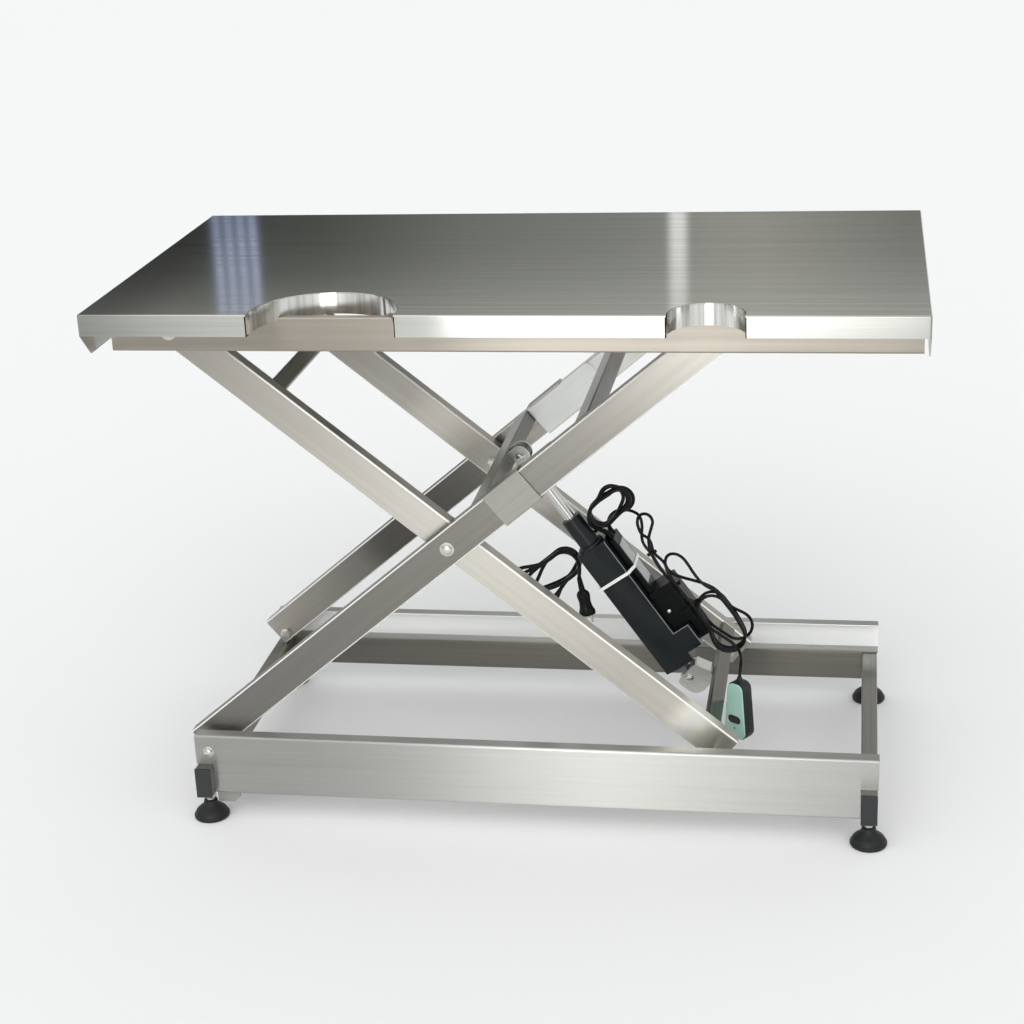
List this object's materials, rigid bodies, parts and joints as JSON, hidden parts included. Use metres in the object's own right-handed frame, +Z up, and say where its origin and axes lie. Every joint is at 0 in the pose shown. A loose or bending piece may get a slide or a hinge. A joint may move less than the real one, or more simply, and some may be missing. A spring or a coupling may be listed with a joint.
{
  "type": "veterinary exam table",
  "caption": "Height-adjustable stainless examination table: folded top with two round cut-outs on a scissor lift driven by a linear actuator, with a corded hand control.",
  "frame": {"origin": "on the floor under the middle of the tabletop, with the lift fully raised", "axes": "+X along the tabletop's length, +Y from the edge with the cut-outs to the plain edge, +Z up"},
  "size_m": [1.2, 0.65, 0.847],
  "materials": {
    "brushed_top": "brushed along the length",
    "brushed_rail": "brushed along the length",
    "brushed_arm": "brushed along the arm",
    "brushed_plate": "brushed",
    "bolt_steel": "plated",
    "rod_chrome": "polished",
    "roller_nylon": "smooth",
    "black_cap": "fine grain",
    "pad_rubber": "matt",
    "actuator_black": "satin moulded",
    "zinc_fitting": "satin zinc",
    "label_film": "satin film",
    "tie_nylon": "smooth",
    "cord_black": "satin sheath",
    "handset_green": "satin",
    "handset_black": "satin"
  },
  "bodies": {
    "base": {"base_front_rail": "brushed_rail", "base_back_rail": "brushed_rail", "base_left_crossbar": "brushed_rail", "base_right_crossbar": "brushed_rail", "crossbar_plugs": "black_cap", "base_pivot_bolts": "bolt_steel", "lug_plates": "brushed_plate"},
    "foot_fl": {"foot_stem_fl": "bolt_steel", "foot_pad_fl": "pad_rubber"},
    "foot_fr": {"foot_stem_fr": "bolt_steel", "foot_pad_fr": "pad_rubber"},
    "foot_bl": {"foot_stem_bl": "bolt_steel", "foot_pad_bl": "pad_rubber"},
    "foot_br": {"foot_stem_br": "bolt_steel", "foot_pad_br": "pad_rubber"},
    "outer_arms": {"outer_arm_front": "brushed_arm", "outer_arm_back": "brushed_arm", "outer_cross_tube": "brushed_arm", "actuator_beam": "brushed_arm", "beam_saddles": "brushed_plate", "rod_bracket": "brushed_plate", "centre_pivot_bolts": "bolt_steel", "top_roller_axles": "bolt_steel"},
    "inner_arms": {"inner_arm_front": "brushed_arm", "inner_arm_back": "brushed_arm", "inner_cross_tube": "brushed_arm", "inner_low_beam": "brushed_arm", "actuator_bracket": "brushed_plate", "base_roller_axles": "bolt_steel"},
    "tabletop": {"top_sheet": "brushed_top", "notch_walls": "brushed_plate", "top_front_rail": "brushed_rail", "top_back_rail": "brushed_rail", "top_bearers": "brushed_rail", "top_pivot_bolts": "bolt_steel"},
    "top_roller_f": {"top_roller_front": "roller_nylon"},
    "top_roller_b": {"top_roller_back": "roller_nylon"},
    "base_roller_f": {"base_roller_front": "roller_nylon"},
    "base_roller_b": {"base_roller_back": "roller_nylon"},
    "rod": {"piston_rod": "rod_chrome", "rod_end": "actuator_black"},
    "actuator": {"actuator_housing": "actuator_black", "gear_case": "actuator_black", "motor_housing": "actuator_black", "control_box": "actuator_black", "guide_collar": "actuator_black", "rear_clevis": "zinc_fitting", "actuator_pin": "bolt_steel", "blank_label": "label_film", "cable_tie": "tie_nylon", "cord_glands": "actuator_black", "mains_lead": "cord_black", "mains_hank_upper": "cord_black", "mains_hank_lower": "cord_black", "mains_plug": "cord_black", "hand_cord": "cord_black", "hand_cord_hank": "cord_black", "handset_shell": "handset_black", "handset_face": "handset_green"},
    "rocker": {"handset_rocker": "handset_black"}
  },
  "joints": [
    {"name": "lift", "type": "hinge", "parent": "base", "child": "outer_arms", "pos_m": [-0.4964, 0, 0.1183], "axis": [0, -1, 0], "range_deg": [-27.6, 0]},
    {"name": "scissor", "type": "hinge", "parent": "outer_arms", "child": "inner_arms", "pos_m": [-0.10006, 0, 0.458], "axis": [0, -1, 0], "range_deg": [0, 55.3]},
    {"name": "top_hinge", "type": "hinge", "parent": "inner_arms", "child": "tabletop", "pos_m": [-0.4964, 0, 0.79771], "axis": [0, -1, 0], "range_deg": [-27.7, 0]},
    {"name": "rod_pivot", "type": "hinge", "parent": "outer_arms", "child": "rod", "pos_m": [-0.01949, 0, 0.53322], "axis": [0, -1, 0], "range_deg": [0, 60.6]},
    {"name": "piston_slide", "type": "slide", "parent": "rod", "child": "actuator", "axis": [-0.5685, 0, 0.8227], "range_m": [0, 0.095]},
    {"name": "top_roller_f_spin", "type": "hinge", "parent": "outer_arms", "child": "top_roller_f", "pos_m": [0.29628, -0.233, 0.79771], "axis": [0, -1, 0], "continuous": true},
    {"name": "base_roller_f_spin", "type": "hinge", "parent": "inner_arms", "child": "base_roller_f", "pos_m": [0.29628, -0.247, 0.1183], "axis": [0, -1, 0], "continuous": true},
    {"name": "top_roller_b_spin", "type": "hinge", "parent": "outer_arms", "child": "top_roller_b", "pos_m": [0.29628, 0.233, 0.79771], "axis": [0, -1, 0], "continuous": true},
    {"name": "base_roller_b_spin", "type": "hinge", "parent": "inner_arms", "child": "base_roller_b", "pos_m": [0.29628, 0.247, 0.1183], "axis": [0, -1, 0], "continuous": true},
    {"name": "level_fl", "type": "slide", "parent": "base", "child": "foot_fl", "axis": [0, 0, 1], "range_m": [-0.012, 0]},
    {"name": "level_fr", "type": "slide", "parent": "base", "child": "foot_fr", "axis": [0, 0, 1], "range_m": [-0.012, 0]},
    {"name": "level_bl", "type": "slide", "parent": "base", "child": "foot_bl", "axis": [0, 0, 1], "range_m": [-0.012, 0]},
    {"name": "level_br", "type": "slide", "parent": "base", "child": "foot_br", "axis": [0, 0, 1], "range_m": [-0.012, 0]},
    {"name": "rocker_tilt", "type": "hinge", "parent": "actuator", "child": "rocker", "pos_m": [0.32253, -0.09978, 0.12825], "axis": [0, 0, 1], "range_deg": [-3, 3], "stiffness_Nm_per_rad": 0.02}
  ],
  "couplings": [
    {"joint": "scissor", "follows": "lift", "ratio": -2},
    {"joint": "top_hinge", "follows": "lift", "ratio": 1},
    {"joint": "rod_pivot", "follows": "lift", "ratio": -2.1918},
    {"joint": "piston_slide", "follows": "lift", "m_per_rad": -0.19698}
  ]
}
